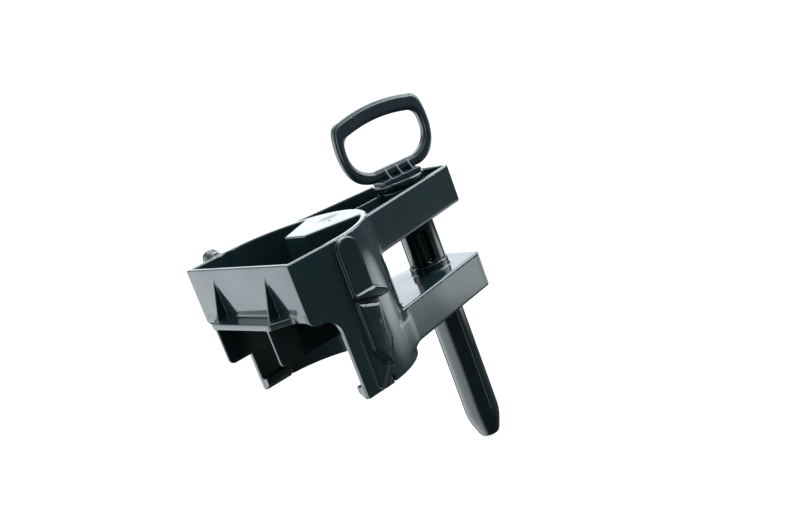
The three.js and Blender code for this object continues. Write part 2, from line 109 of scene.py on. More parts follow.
# ------------------------------------------------------------------ distance fields
def circle_arc(cx, cy, radius, start, end, steps=8):
    """Points on an arc; angles in degrees."""
    angles = np.radians(np.linspace(start, end, steps + 1))
    return [(cx + radius * math.cos(a), cy + radius * math.sin(a)) for a in angles]


def polygon(u, v, points):
    """Signed distance to a closed outline in the plane, negative inside."""
    u, v = np.broadcast_arrays(np.float32(u), np.float32(v))
    nearest = np.full(u.shape, np.float32(1e9))
    inside = np.zeros(u.shape, bool)
    for (ax, ay), (bx, by) in zip(points, points[1:] + points[:1]):
        ex, ey = bx - ax, by - ay
        length = ex * ex + ey * ey
        if length < 1e-12:
            continue
        wx, wy = u - ax, v - ay
        t = np.clip((wx * ex + wy * ey) / length, 0, 1)
        nearest = np.minimum(nearest, (wx - t * ex) ** 2 + (wy - t * ey) ** 2)
        crosses = (ay > v) != (by > v)
        if ey:
            inside ^= crosses & (wx < ex * (wy / ey))
    distance = np.sqrt(nearest)
    return np.where(inside, -distance, distance)


def slab(w, low, high):
    """Distance to the space between two levels of one axis."""
    return np.abs(w - (low + high) / 2) - (high - low) / 2


def join_axes(a, b, r=0.0):
    """Intersects two fields of different axes, with their shared edge rounded to radius r."""
    a, b = a + r, b + r
    return np.minimum(np.maximum(a, b), 0) + np.hypot(np.maximum(a, 0), np.maximum(b, 0)) - r


def smooth_union(a, b, k):
    """Joins two fields with a fillet of about k, which may be a field as well."""
    k = np.maximum(k, np.float32(1e-6))
    h = np.maximum(k - np.abs(a - b), 0) / k
    return np.minimum(a, b) - h * h * k / 4


def smooth_cut(a, b, k):
    """a with b taken away; the new edges are rounded over about k."""
    return -smooth_union(-a, b, k)


class Block:
    """A grid of distances. It starts a little off round numbers, so no flat face lies on its nodes."""

    def __init__(self, low, high, voxel):
        self.low, self.voxel = np.array(low, float), voxel
        counts = np.ceil((np.array(high, float) - self.low) / voxel).astype(int) + 1
        self.axes = [self.low[i] + voxel * np.arange(counts[i]) for i in range(3)]
        self.d = np.full(counts, np.float32(BAND))

    def window(self, low, high):
        """Slices of the grid round a box, and the coordinates there."""
        cuts = []
        for axis, lo, hi in zip(self.axes, low, high):
            start, stop = np.searchsorted(axis, [lo - MARGIN, hi + MARGIN])
            cuts.append(slice(int(start), int(stop)))
        x, y, z = (axis[c].astype(np.float32) for axis, c in zip(self.axes, cuts))
        return tuple(cuts), x[:, None, None], y[None, :, None], z[None, None, :]

    def add(self, low, high, shape, k=0.0):
        cuts, x, y, z = self.window(low, high)
        if callable(k):
            k = np.float32(k(x, y, z))
        self.d[cuts] = smooth_union(self.d[cuts], np.float32(shape(x, y, z)), k)

    def cut(self, low, high, shape, k=0.0):
        cuts, x, y, z = self.window(low, high)
        self.d[cuts] = smooth_cut(self.d[cuts], np.float32(shape(x, y, z)), k)

    def soften(self):
        """Blurs the field by about a voxel, which rounds each edge evenly."""
        for axis in range(3):
            d = np.moveaxis(self.d, axis, 0)
            d[1:-1] = (d[:-2] + 2 * d[1:-1] + d[2:]) / 4

    def mesh(self, adaptivity):
        """Points in millimetres, with their normals, and faces that turn outwards."""
        self.soften()
        grid = openvdb.FloatGrid(BAND)
        grid.copyFromArray(np.clip(self.d, -BAND, BAND))
        points, triangles, quads = grid.convertToPolygons(0.0, adaptivity)
        points = points.astype(float)
        faces = [tuple(f) for f in triangles] + [tuple(f) for f in quads]
        sample = np.clip(points, 1.01, np.array(self.d.shape) - 2.01)
        normals = np.stack([self.slope(sample, i) for i in range(3)], 1)
        normals /= np.maximum(np.linalg.norm(normals, axis=1), 1e-9)[:, None]
        return self.low + points * self.voxel, normals, faces

    def slope(self, at, axis):
        """How fast the field rises along one axis, at points given in voxels."""
        step = np.zeros(3)
        step[axis] = 0.5
        return self.value(at + step) - self.value(at - step)

    def value(self, at):
        """The field between its nodes, at points given in voxels."""
        cell = np.floor(at).astype(int)
        f = at - cell
        total = np.zeros(len(at))
        for corner in np.ndindex(2, 2, 2):
            weight = np.prod(np.where(corner, f, 1 - f), axis=1)
            i, j, k = (cell + corner).T
            total += weight * self.d[i, j, k]
        return total


def plan(points, low, high, r=0.4):
    """An outline in x and y, raised from low to high."""
    return lambda x, y, z: join_axes(polygon(x, y, points), slab(z, low, high), r)


def side(points, low, high, r=0.4):
    """An outline in x and z, thickened from y = low to y = high."""
    return lambda x, y, z: join_axes(polygon(x, z, points), slab(y, low, high), r)


def end(points, low, high, r=0.4):
    """An outline in y and z, thickened from x = low to x = high."""
    return lambda x, y, z: join_axes(polygon(y, z, points), slab(x, low, high), r)


def round_bar(cx, cy, radius, low, high, r=0.3):
    """An upright cylinder."""
    return lambda x, y, z: join_axes(np.hypot(x - cx, y - cy) - radius, slab(z, low, high), r)


def turned(points):
    """An outline in radius and z, turned about the z axis."""
    return lambda x, y, z: polygon(*np.broadcast_arrays(np.hypot(x, y), z), points)


# ------------------------------------------------------------------ the bracket moulding
def tray_wall_field(x, y):
    """Distance in plan to the wall that runs round the tray and the half-round saddle."""
    outer = [(END_X, -SADDLE_R), (0, -SADDLE_R)]
    outer += circle_arc(0, 0, SADDLE_R, -90, 90, 96)[1:]
    outer += [(END_X, SADDLE_R)]
    inner_y = SADDLE_R - WALL
    inner = [(END_X + WALL, -inner_y), (-3, -inner_y), (0, -SADDLE_INNER_R)]
    inner += circle_arc(0, 0, SADDLE_INNER_R, -90, 90, 96)[1:]
    inner += [(-3, inner_y), (END_X + WALL, inner_y)]
    return np.maximum(polygon(x, y, outer), -polygon(x, y, inner))


def tray(block):
    def ring(x, y, z):
        return join_axes(tray_wall_field(x, y), slab(z, 0, WALL_TOP), 0.3)

    def saddle(x, y, z):
        wall = np.maximum(tray_wall_field(x, y), -x - 0.5)
        return join_axes(wall, slab(z, SADDLE_BOTTOM, WALL_TOP), 0.4)

    block.add((END_X, -41, 0), (41, 41, WALL_TOP), ring)
    block.add((-1, -41, SADDLE_BOTTOM), (41, 41, WALL_TOP), saddle)
    corner_x, corner_z = END_X + SIDE_CORNER, SIDE_CORNER - SIDE_DROP
    foot = [(END_X, RIM)] + circle_arc(corner_x, corner_z, SIDE_CORNER, 180, 270)
    foot += [(2, -SIDE_DROP), (2, RIM)]
    for low in (-SADDLE_R, SADDLE_R - WALL):
        block.add((END_X, low, -3), (2, low + WALL, RIM), side(foot, low, low + WALL, 0.3))


def raised_panel(points, side_of, height, skirt, slope_width):
    """A panel on a leg's outer face: a steep skirt, then a gentle slope up to its flat."""

    def shape(x, y, z):
        inside = polygon(x, z, points)
        above = side_of * y - SADDLE_R
        lean = math.hypot(height - skirt, slope_width)
        gentle = (inside * (height - skirt) + (above - skirt) * slope_width) / lean
        return np.maximum(np.maximum(inside, gentle), np.maximum(above - height, -1 - above))

    return shape


def legs(block):
    """The two snap legs, with the wedge, the tail and the groove on each outer face, and the hook."""
    top = 1.0
    fillet_x = LEG_BACK_X - LEG_FILLET
    fillet = circle_arc(fillet_x, -SIDE_DROP - LEG_FILLET, LEG_FILLET, 90, 0, 10)
    outline = [(fillet_x, top)] + fillet + [(LEG_BACK_X, LEG_FOOT), (4.8, LEG_FOOT)]
    outline += [(4.8, -36.2), (7.6, -32), (11.8, -22.6), (11.8, top)]
    groove = [(-3.2, -15.8), (-2.4, -15.8), (-2.4, -39), (-3.2, -39)]
    wedge = [(0, -2.6), (0, -23.4), (4.5, -30.6), (4.8, -33), (7.4, -32), (11, -6.4)]
    tail = [(4.4, -31.6), (7.5, -32.4), (0.6, -40), (-2.5, -39.6)]
    for s in (-1, 1):
        low, high = sorted((s * SADDLE_R, s * (SADDLE_R - LEG_T)))
        block.add((-19, low, -41), (12, high, top), side(outline, low, high, 0.4), 0.0)
        low, high = sorted((s * (SADDLE_R + 2.2), s * (SADDLE_R - 1)))
        block.add((0, low, -33), (11, high, -2), raised_panel(wedge, s, 2.0, 1.3, 1.5), 0.15)
        block.add((-3, low, -40), (8, high, -31), raised_panel(tail, s, 1.8, 1.1, 1.2), 0.15)
        low, high = sorted((s * (SADDLE_R + 1), s * (SADDLE_R - 0.5)))
        block.cut((-4, low, -39), (-2, high, -15), side(groove, low, high, 0.0), 0.25)
        hook = [(s * HOOK_OUTER, LEG_FOOT), (s * 37.3, LEG_FOOT), (s * HOOK_INNER, -37.9)]
        hook += [(s * HOOK_INNER, -34.9), (s * HOOK_OUTER, -34.9)]
        low, high = sorted((s * HOOK_INNER, s * HOOK_OUTER))
        block.add((-10, low, -41), (4.8, high, -34), end(hook, LEG_BACK_X, 4.8, 0.4), 0.8)


def leg_windows(block):
    """Opens the saddle where each leg stands, with a narrow slit left beside the leg."""
    edge = [(12.55, -3.1), (12.55, -22.6), (8.3, -32), (5.5, -36.4), (5.5, -42)]
    window = [(-6, -3.1)] + edge + [(-6, -42)]
    for low, high in ((-46, -24), (24, 46)):
        block.cut((-6, low, -42), (12.6, high, -3), side(window, low, high, 0.0), 0.4)


def floor_and_flange(block):
    """The tray's floor, which runs out as a flange, with the side plates below and the gussets above."""
    outline = [(FLANGE_X, -FLANGE_HALF), (END_X, -FLANGE_ROOT), (END_X, -39), (0, -39)]
    outline += circle_arc(0, 0, 38.5, -90, 90, 64)
    outline += [(0, 39), (END_X, 39), (END_X, FLANGE_ROOT), (FLANGE_X, FLANGE_HALF)]
    block.add((FLANGE_X, -39, 0), (39, 39, FLOOR), plan(outline, 0, FLOOR, 0.35), 1.0)
    corner_x, corner_z = FLANGE_X + PLATE_CORNER, PLATE_BOTTOM + PLATE_CORNER
    plate = [(FLANGE_X, 1)] + circle_arc(corner_x, corner_z, PLATE_CORNER, 180, 270)
    plate += [(35, PLATE_BOTTOM), (35, 1)]
    gusset = [(END_X + 1, 1), (END_X + 1, GUSSET_TOP), (END_X, 20), (GUSSET_FOOT_X, 1)]
    for y in (-PLATE_Y, PLATE_Y):
        low, high = y - PLATE_T / 2, y + PLATE_T / 2
        block.add((FLANGE_X, low, PLATE_BOTTOM), (35, high, 1), side(plate, low, high, 0.3), 0.8)
        low, high = y - GUSSET_T / 2, y + GUSSET_T / 2
        box = (-30, low, 1), (END_X + 1, high, GUSSET_TOP)
        block.add(*box, side(gusset, low, high, 0.25), 0.4)

    def past_the_end(x, y, z):
        return x - FLANGE_X + 0 * y + 0 * z

    block.cut((-34, -40, -20), (FLANGE_X, 40, 5), past_the_end, 0.5)


def web(block):
    """The level web in the saddle's curve, which tapers to a nose over the tray."""
    slope = (WEB_WIDEST_HALF - WEB_NOSE_HALF) / (WEB_WIDEST_X - WEB_NOSE_X)
    end_x = 38
    end_half = WEB_NOSE_HALF + (end_x - WEB_NOSE_X) * slope
    outline = [(WEB_NOSE_X, WEB_NOSE_HALF), (WEB_NOSE_X, -WEB_NOSE_HALF)]
    outline += [(end_x, -end_half), (end_x, end_half)]

    def shape(x, y, z):
        inside = np.maximum(polygon(x, y, outline), np.hypot(x, y) - 39)
        return join_axes(inside, slab(z, 1, WALL_TOP), 0.3)

    block.add((WEB_NOSE_X, -25, 1), (39, 25, WALL_TOP), shape, 1.0)


def arm_field(x, y, inset):
    """Distance in plan to an arm's outline, or to one drawn in from it by inset."""
    slope = (ARM_TIP_HALF - ARM_ROOT_HALF) / (ARM_TIP_X - ARM_ROOT_X)
    lean = math.hypot(1, slope)

    def half(at):
        return ARM_ROOT_HALF + slope * (at - ARM_ROOT_X) - inset * lean

    tip, corner = ARM_TIP_X - inset, max(ARM_TIP_CORNER - inset, 0.8)
    near = half(tip - corner)
    outline = [(20, -half(20)), (tip - corner, -near)]
    outline += circle_arc(tip - corner, -near + corner, corner, -90, 0, 6)[1:]
    outline += circle_arc(tip - corner, near - corner, corner, 0, 90, 6)
    outline += [(20, half(20))]
    return np.maximum(polygon(x, y, outline), SADDLE_R - 1.5 - np.hypot(x, y))


def arm(block, low, high, deck_low, deck_high, root_fillet):
    """A hollow arm with one deck. root_fillet is how much more than 1 mm its root is filleted."""
    box = (24, -32, low), (ARM_TIP_X, 32, high)

    def walls(x, y, z):
        body = join_axes(arm_field(x, y, 0.0), slab(z, low, high), ARM_EDGE)
        return np.maximum(body, -arm_field(x, y, WALL))

    def deck(x, y, z):
        return join_axes(arm_field(x, y, 0.0), slab(z, deck_low, deck_high), ARM_EDGE)

    def root(x, y, z):
        """The fillet's size: full at the saddle's wall, and 1 mm from 6 mm away."""
        away = np.hypot(x, y) - SADDLE_R
        near = np.clip(away + 1.2, 0, 1) * np.clip(1 - away / 6, 0, 1)
        below_top = np.clip((high + 1 - z) / 6, 0, 1)
        above_foot = np.clip((z - low + 3) / 3, 0, 1)
        return 1 + root_fillet * near * below_top * above_foot

    block.add(*box, walls, root)
    block.add(*box, deck, 0.0)


def arms(block):
    """Both arms, the bosses round the pin, the collar on the lower deck and the rib."""
    arm(block, UPPER_ARM_BOTTOM, WALL_TOP, UPPER_ARM_BOTTOM, UPPER_DECK_TOP, 0.5)
    boss = round_bar(PIN_X, 0, UPPER_BOSS_R, 8, UPPER_BOSS_TOP)
    block.add((60, -13, 8), (86, 13, UPPER_BOSS_TOP), boss, 1.0)
    rib = [(38, 8), (38, RIB_TOP), (72, RIB_TOP), (72, 8)]
    block.add((38, -1, 8), (72, 1, RIB_TOP), side(rib, -RIB_T / 2, RIB_T / 2, 0.3), 0.8)
    arm(block, LOWER_ARM_BOTTOM, LOWER_ARM_TOP, LOWER_DECK_BOTTOM, LOWER_ARM_TOP, 4.5)
    boss_bottom, collar_bottom = LOWER_ARM_BOTTOM + 2, -20
    boss = round_bar(PIN_X, 0, LOWER_BOSS_R, boss_bottom, collar_bottom)
    block.add((60, -13, boss_bottom), (86, 13, collar_bottom), boss, 0.8)
    collar = round_bar(PIN_X, 0, COLLAR_R, collar_bottom, COLLAR_TOP, 0.4)
    block.add((60, -13, collar_bottom), (86, 13, COLLAR_TOP), collar, 0.8)


def pin_holes(block):
    upper = round_bar(PIN_X, 0, UPPER_BORE_R, 0, 40, 0)
    block.cut((62, -10, 0), (84, 10, 30), upper, 0.6)
    lower = round_bar(PIN_X, 0, LOWER_BORE_R, -42, 0, 0)
    block.cut((62, -10, -42), (84, 10, -8), lower, 0.6)


def pads_and_ledges(block):
    """A round-topped pad above each leg, with a thumb ledge at its foot."""
    pad_r = PAD_LENGTH / 2
    pad = [(0, 0.6), (PAD_LENGTH, 0.6)] + circle_arc(pad_r, 19.4, pad_r, 0, 180, 14)
    for s in (-1, 1):
        low, high = sorted((s * (SADDLE_R + PAD_T), s * (SADDLE_R - 3)))
        block.add((0, low, 0), (PAD_LENGTH, high, 25), side(pad, low, high, 0.5), 0.6)
        ledge = [(0, 0.9), (10.4, 1.0), (14.6, -1.1), (16.2, -2.2), (16.4, -3.2), (15.6, -4.2)]
        ledge += [(11.4, -4.4), (0, -0.3)]
        low, high = sorted((s * 37, s * 43.5))
        block.add((0, low, -5), (16.4, high, 1), side(ledge, low, high, 0.35), 0.3)


def knob(block):
    """The ball-headed tie knob on the rear wall."""
    cx, cy, cz, radius, neck = -6.5, 45.2, 23.8, 4.3, 2.6

    def shape(x, y, z):
        ball = np.sqrt((x - cx) ** 2 + (y - cy) ** 2 + (z - cz) ** 2) - radius
        stem = join_axes(np.hypot(x - cx, z - cz) - neck, slab(y, SADDLE_R - 0.8, cy), 0.0)
        return smooth_union(ball, stem, 1.2)

    block.add((cx - 5, 39, cz - 5), (cx + 5, 50, cz + 5), shape, 0.8)


def rim(block):
    """Levels every rim, and rounds its edges."""

    def above(x, y, z):
        return RIM - z + 0 * x + 0 * y

    block.cut((-32, -46, RIM - 2), (96, 46, RIM + 8), above, 0.8)


def dimple(block):
    """The shallow bowl in the web's top, with the pip of the moulding's gate in it."""
    bowl_x, bowl_r, bowl_depth = 29.8, 26.5, 0.65
    gate_x, gate_y, gate_r, gate_depth = 28.6, -1.6, 0.7, 0.75

    def bowl(x, y, z):
        centre_z = RIM + bowl_r - bowl_depth
        return np.sqrt((x - bowl_x) ** 2 + y**2 + (z - centre_z) ** 2) - bowl_r

    def gate(x, y, z):
        centre_z = RIM - gate_depth
        return np.sqrt((x - gate_x) ** 2 + (y - gate_y) ** 2 + (z - centre_z) ** 2) - gate_r

    block.cut((22, -8, 22), (38, 8, 28), bowl, 0.3)
    block.add((27, -3, 23), (30, 0, 26), gate, 0.3)


def bracket_block():
    block = Block((-33.03, -45.63, -42.57), (95.1, 51.6, 30.2), VOXEL)
    tray(block)
    leg_windows(block)
    legs(block)
    floor_and_flange(block)
    web(block)
    arms(block)
    pads_and_ledges(block)
    rim(block)
    pin_holes(block)
    dimple(block)
    knob(block)
    return block


# ------------------------------------------------------------------ the drop pin and its handle
def pin_lower_block():
    """The pin's plain length, with its tapered tip."""
    top = COLLAR_TOP
    taper = [(3.2, 0), (4.4, 0.5), (5.1, 1.6), (6.2, 4.6), (7.3, 8.2), (7.9, 11), (PIN_R, 14)]
    outline = [(-1, PIN_TIP)] + [(r, PIN_TIP + z) for r, z in taper] + [(PIN_R, top), (-1, top)]
    block = Block((-10.03, -10.03, PIN_TIP - 2.1), (10.1, 10.1, top + 2.2), VOXEL)
    block.add((-9, -9, PIN_TIP), (9, 9, top), turned(outline))
    return block


def pin_upper_block():
    """The pin's upper length with its two opposite pockets, and the round head."""
    low, top = COLLAR_TOP + 0.05, 23.5
    block = Block((-14.03, -14.03, low - 2.1), (14.1, 14.1, 31.2), VOXEL)
    block.add((-9, -9, low), (9, 9, top), round_bar(0, 0, PIN_UPPER_R, low, top, 0.4))
    pocket = circle_arc(0, POCKET_BOTTOM + POCKET_HALF, POCKET_HALF, 180, 360, 12)
    pocket += circle_arc(0, POCKET_TOP - POCKET_HALF, POCKET_HALF, 0, 180, 12)
    for turn in (POCKET_TURN, POCKET_TURN + math.pi):
        c, s = math.cos(turn), math.sin(turn)

        def hollow(x, y, z, c=c, s=s):
            across, depth = c * x + s * y, s * x - c * y
            flared = polygon(across, z, pocket) - POCKET_FLARE * (depth - POCKET_FLOOR)
            return join_axes(flared, slab(depth, POCKET_FLOOR, 12), 0.8)

        block.cut((-9, -9, -14), (9, 9, 2), hollow, 0.3)
    head = round_bar(0, 0, 12.2, 23.6, 27, 0.7)
    block.add((-13, -13, 22), (13, 13, 27), head, 0.8)
    return block


def ring_outline(bottom, foot, side_z, side_x, shoulder_z, shoulder_x, corner_z, corner_x, crown):
    """The right half of the ring's outline, from its foot to its crown, and its mirror image."""

    def curve(a, b, c, steps=10):
        t = np.linspace(0, 1, steps + 1)[1:, None]
        a, b, c = (np.array(v, float) for v in (a, b, c))
        return [tuple(v) for v in (1 - t) ** 2 * a + 2 * t * (1 - t) * b + t**2 * c]

    half = [(foot, bottom)]
    half += curve(half[-1], (side_x - 1.2, bottom + 2), (side_x, side_z))
    half += curve(half[-1], (side_x + 0.3, (side_z + shoulder_z) / 2), (shoulder_x, shoulder_z))
    half += curve(half[-1], (shoulder_x - 0.8, corner_z - 0.4), (corner_x, corner_z))
    half += curve(half[-1], (corner_x / 2, crown), (0, crown))
    return half + [(-x, z) for x, z in reversed(half[:-1])]


def ring_block():
    """The ring with its rims, its foot, three braces and a round ejector mark."""
    outer = ring_outline(29.1, 13, 44.5, 24.6, 53.5, 24.2, 61, 18.6, 63.4)
    inner = ring_outline(34.2, 11, 43.8, 20.2, 49.5, 20.1, 53.9, 15.8, 55.9)

    def outline(x, z):
        return np.maximum(polygon(x, z, outer), -polygon(x, z, inner))

    def rims(x, y, z):
        return join_axes(outline(x, z), slab(y, -1.75, 1.75), 0.8)

    def core(x, y, z):
        return join_axes(outline(x, z) + 1.0, slab(y, -2.5, 2.5), 0.6)

    block = Block((-26.53, -8.53, 25.1), (26.6, 8.6, 65.2), RING_VOXEL)
    block.add((-25, -3, 28), (25, 3, 64), rims)
    block.add((-25, -3, 28), (25, 3, 64), core, 0.25)
    base = [(-10, -6.2), (10, -6.2), (10, 6.2), (-10, 6.2)]
    block.add((-10, -6.2, 26.8), (10, 6.2, 28.9), plan(base, 26.8, 28.9, 0.5), 0.8)
    brace = [(-6, 28.4), (-6, 29.0), (-2.3, 33.2), (2.3, 33.2), (6, 29.0), (6, 28.4)]
    for x in (-5.8, 0.3, 6.4):
        block.add((x - 0.6, -6, 28), (x + 0.6, 6, 33.2), end(brace, x - 0.5, x + 0.5, 0.3), 0.5)
    mark_x, mark_z, mark_r, mark_half = -13.0, 58.7, 1.9, 0.16

    def ejector(x, y, z):
        mark = np.abs(np.hypot(x - mark_x, z - mark_z) - mark_r) - mark_half
        return join_axes(mark, slab(y, -2.7, -2.35), 0.0)

    block.add((-16, -3, 56), (-10, -2, 61), ejector, 0.15)
    return block


# ------------------------------------------------------------------ meshes
FLAT_WITHIN, TURNED_PAST = math.radians(2), math.radians(5)


def corner_normals(mesh, normals):
    """The field's normals, save that a flat face keeps its own where it meets a rounded edge.

    A face counts as flat when its own normal agrees with the field's at one corner or more.
    """
    sizes = np.empty(len(mesh.polygons), int)
    mesh.polygons.foreach_get("loop_total", sizes)
    starts = np.empty(len(sizes), int)
    mesh.polygons.foreach_get("loop_start", starts)
    flat = np.empty(len(sizes) * 3)
    mesh.polygons.foreach_get("normal", flat)
    vertices = np.empty(len(mesh.loops), int)
    mesh.loops.foreach_get("vertex_index", vertices)
    own = np.repeat(flat.reshape(-1, 3), sizes, axis=0)
    corners = normals[vertices]
    agreement = (own * corners).sum(1)
    is_flat = np.maximum.reduceat(agreement, starts) > math.cos(FLAT_WITHIN)
    turned_away = agreement < math.cos(TURNED_PAST)
    return np.where((turned_away & np.repeat(is_flat, sizes))[:, None], own, corners).tolist()


def make_object(name, points, normals, faces, material, turn=0.0, at=(0, 0, 0)):
    """A smooth mesh in metres whose shading normals are the field's own."""
    mesh = bpy.data.meshes.new(name)
    place = Matrix.Translation(Vector(at) * MM) @ Matrix.Rotation(turn, 4, "Z")
    mesh.from_pydata([tuple(p) for p in points * MM], [], faces)
    mesh.transform(place)
    normals = normals @ np.array(place.to_3x3()).T
    bm = bmesh.new()
    bm.from_mesh(mesh)
    bmesh.ops.holes_fill(bm, edges=[e for e in bm.edges if e.is_boundary], sides=0)
    if bm.calc_volume(signed=True) < 0:
        bmesh.ops.reverse_faces(bm, faces=bm.faces)
    for f in bm.faces:
        f.smooth = True
    bm.to_mesh(mesh)
    bm.free()
    mesh.normals_split_custom_set(corner_normals(mesh, normals))
    mesh.materials.append(material)
    obj = bpy.data.objects.new(name, mesh)
    bpy.context.scene.collection.objects.link(obj)
    return obj


def split_legs(points, faces):
    """Splits the moulding's faces into those of the front leg, the rear leg and the rest."""
    centres = np.array([points[list(f)].mean(0) for f in faces])
    low = np.where(centres[:, 2] < HINGE_Z)[0]
    by_vertex = {}
    for i in low:
        for v in faces[i]:
            by_vertex.setdefault(v, []).append(i)
    parts = {}
    for name, side_of in (("front", -1), ("rear", 1)):
        target = np.array([-3, side_of * 38, LEG_FOOT])
        start = low[np.argmin(np.linalg.norm(centres[low] - target, axis=1))]
        found, open_faces = {start}, [start]
        while open_faces:
            for v in faces[open_faces.pop()]:
                for i in by_vertex[v]:
                    if i not in found:
                        found.add(i)
                        open_faces.append(i)
        parts[name] = sorted(found)
    legs_faces = set(parts["front"]) | set(parts["rear"])
    parts["bracket"] = [i for i in range(len(faces)) if i not in legs_faces]
    return parts


def subset(points, normals, faces, chosen):
    """The chosen faces, with only the points and normals that they use."""
    used = sorted({v for i in chosen for v in faces[i]})
    new = {v: n for n, v in enumerate(used)}
    return points[used], normals[used], [tuple(new[v] for v in faces[i]) for i in chosen]


# ------------------------------------------------------------------ materials
WARP, WARP_SCALE = 1.2, 22  # a moulded wall's slow waviness: its depth in mm, its waves per metre


def plastic(name, colour, roughness, texture_scale, texture_depth, streak):
    """Moulded plastic: a faint skin texture, handling marks and a slight change of gloss."""
    material = bpy.data.materials.new(name)
    material.use_nodes = True
    nodes, links = material.node_tree.nodes, material.node_tree.links
    shader = nodes["Principled BSDF"]
    shader.inputs["IOR"].default_value = 1.52
    coords = nodes.new("ShaderNodeTexCoord")

    def noise(scale, detail, stretch=(1, 1, 1)):
        mapping = nodes.new("ShaderNodeMapping")
        mapping.inputs["Scale"].default_value = stretch
        links.new(coords.outputs["Object"], mapping.inputs["Vector"])
        texture = nodes.new("ShaderNodeTexNoise")
        texture.inputs["Scale"].default_value = scale
        texture.inputs["Detail"].default_value = detail
        links.new(mapping.outputs["Vector"], texture.inputs["Vector"])
        return texture.outputs["Fac"]

    def remap(value, low, high):
        node = nodes.new("ShaderNodeMapRange")
        node.inputs["From Min"].default_value = 0.3
        node.inputs["From Max"].default_value = 0.7
        node.inputs["To Min"].default_value = low
        node.inputs["To Max"].default_value = high
        links.new(value, node.inputs["Value"])
        return node.outputs["Result"]

    marks = noise(60, 4, (1, 1, 1))
    flow = noise(25, 3, (1, 1, 4))
    gloss = nodes.new("ShaderNodeMath")
    gloss.operation = "ADD"
    links.new(remap(marks, -streak, streak), gloss.inputs[0])
    links.new(remap(flow, roughness - streak / 2, roughness + streak / 2), gloss.inputs[1])
    links.new(gloss.outputs[0], shader.inputs["Roughness"])
    tint = nodes.new("ShaderNodeMix")
    tint.data_type = "RGBA"
    tint.inputs["A"].default_value = (*[c * 0.85 for c in colour], 1)
    tint.inputs["B"].default_value = (*[c * 1.2 for c in colour], 1)
    links.new(flow, tint.inputs["Factor"])
    links.new(tint.outputs["Result"], shader.inputs["Base Color"])
    skin = nodes.new("ShaderNodeBump")
    skin.inputs["Distance"].default_value = texture_depth * MM
    skin.inputs["Strength"].default_value = 1.0
    links.new(noise(texture_scale, 2), skin.inputs["Height"])
    warp = nodes.new("ShaderNodeBump")
    warp.inputs["Distance"].default_value = WARP * MM
    warp.inputs["Strength"].default_value = 1.0
    links.new(noise(WARP_SCALE, 1), warp.inputs["Height"])
    links.new(warp.outputs["Normal"], skin.inputs["Normal"])
    links.new(skin.outputs["Normal"], shader.inputs["Normal"])
    return material


# ------------------------------------------------------------------ pieces
HINGE_Y, LEG_BEND_TOP, LEG_BEND_END = 0.0392, HINGE_Z * MM - 0.0002, -0.016  # metres

moulding = plastic("black_moulding", (0.0072, 0.0160, 0.0168), 0.10, 900, 0.002, 0.03)
pin_black = plastic("black_pin", (0.0030, 0.0085, 0.0092), 0.07, 900, 0.002, 0.02)
handle_black = plastic("black_handle", (0.0110, 0.0210, 0.0250), 0.30, 1600, 0.012, 0.05)

points, normals, faces = bracket_block().mesh(BRACKET_MERGE)
parts = split_legs(points, faces)
bracket = make_object("bracket_moulding", *subset(points, normals, faces, parts["bracket"]), moulding)
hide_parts(*frame["record"]["behaviour"]["bodies"]["bracket"])
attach(bracket, "bracket")
for name, hinge_y in (("front", -HINGE_Y), ("rear", HINGE_Y)):
    leg = make_object(f"{name}_leg_moulding", *subset(points, normals, faces, parts[name]), moulding)
    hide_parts(f"{name}_snap_leg")
    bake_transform(leg)


def pin_piece(name, mesh, material, slot, body, *nodes):
    """Places a piece that is modelled round the z axis on the pin's axis."""
    piece = make_object(name, *mesh, material, PIN_TURN, (PIN_X, 0, 0))
    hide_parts(*nodes)
    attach(piece, body)


lower, upper, ring = pin_lower_block(), pin_upper_block(), ring_block()
pin_piece("pin_lower", lower.mesh(PIN_LOWER_MERGE), pin_black, "pin", "pin", "pin_lower_length")
upper_nodes = "pin_upper_length", "pin_head"
pin_piece("pin_upper", upper.mesh(FINE_MERGE), pin_black, "pin", "pin_handle", *upper_nodes)
pin_piece("ring_handle", ring.mesh(FINE_MERGE), handle_black, "handle", "pin_handle", "pull_ring")


# ------------------------------------------------------------------ floor, light and camera
# Each softbox: azimuth and elevation from the object, the angles from its middle at which it
# ends and within which it is full, all in degrees, and its brightness.
SOFTBOXES = (
    (146, -16, 62, 34, 3.3),  # wide and low, beyond the tray's end
    (-8, -5, 46, 20, 0.10),  # faint, beyond the arms' tips
    (-24, 34, 36, 20, 8.0),  # strong and high, to the front of the arms
    (54, 24, 34, 14, 2.6),  # behind, mirrored in the level faces
    (0, 90, 75, 20, 1.6),  # overhead
)
GLOW_BETWEEN = 0.08
GLOW_COLOUR = (0.88, 0.96, 1.0, 1.0)
# The card on the floor: its middle, the distances at which it ends and within which it is full,
# in metres, and its brightness.
CARD_AT, CARD_EDGE, CARD_FULL, CARD_GLOW = (0.39, -0.10), 0.18, 0.05, 3.2
FLOOR_RADIUS, FLOOR_GAP, FLOOR_SHADOW = 3.0, 0.001, 0.12
CAMERA_AT = (-0.25753, -0.43072, 0.11759)
CAMERA_TURN, CAMERA_TILT, CAMERA_ROLL = (math.radians(a) for a in (-36.14, 13.45, 20.40))
LENS, SENSOR = 54.0, 36.0


